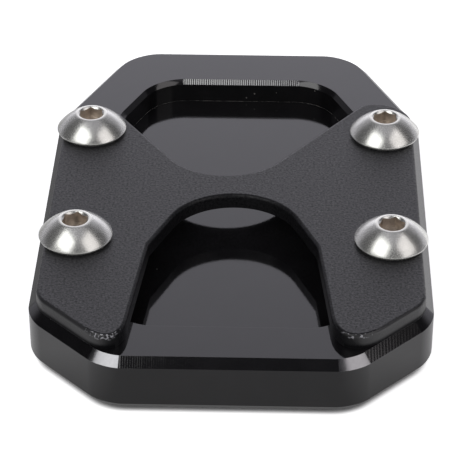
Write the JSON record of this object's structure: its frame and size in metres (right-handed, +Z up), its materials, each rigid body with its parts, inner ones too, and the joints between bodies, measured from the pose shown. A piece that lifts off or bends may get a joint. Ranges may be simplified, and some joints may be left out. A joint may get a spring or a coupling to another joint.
{
  "type": "kickstand foot enlarger",
  "caption": "Black anodised octagonal base plate with a shallow pocket, a textured clamp plate over it and stainless button-head screws, that widens the foot of a side stand.",
  "frame": {"origin": "centre of the part's footprint, on the plane that the underside rests on", "axes": "+X across the part to its right, +Y towards the narrower rear end with the long slanted corners, +Z up"},
  "size_m": [0.0506, 0.0762, 0.0127],
  "materials": {
    "black_anodised": "satin to gloss black anodising over milled aluminium",
    "black_textured_coat": "fine textured matt black powder coat",
    "stainless_steel": "satin stainless steel"
  },
  "bodies": {
    "root": {"base_plate": "black_anodised", "clamp_plate": "black_textured_coat", "rear_left_screw": "stainless_steel", "rear_right_screw": "stainless_steel", "front_left_screw": "stainless_steel", "front_right_screw": "stainless_steel"}
  },
  "joints": []
}
